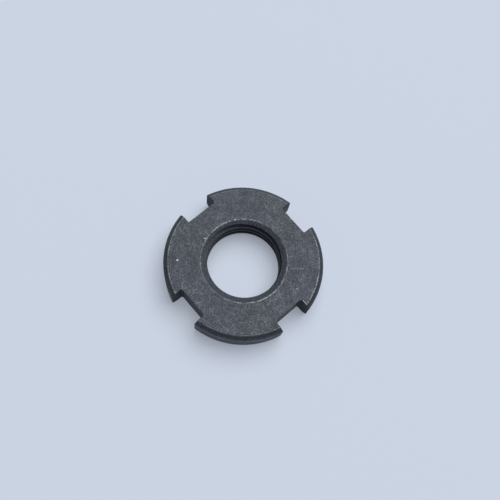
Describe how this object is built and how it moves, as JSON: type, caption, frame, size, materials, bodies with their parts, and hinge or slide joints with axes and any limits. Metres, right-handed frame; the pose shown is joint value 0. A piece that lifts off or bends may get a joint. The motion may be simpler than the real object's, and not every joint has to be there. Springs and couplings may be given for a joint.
{
  "type": "slotted round nut",
  "caption": "Flat round locking nut with a fine right-hand thread and square spanner slots milled across its rim.",
  "frame": {"origin": "centre of the lower face, on the thread's axis", "axes": "+Z along the thread's axis, up out of the upper face; the spanner slots lie on +X, +Y, -X and -Y"},
  "size_m": [0.0312, 0.0312, 0.006],
  "materials": {
    "black_oxide_steel": "matte black oxide, lightly scuffed"
  },
  "bodies": {
    "root": {"castle_nut": "black_oxide_steel"}
  },
  "joints": []
}
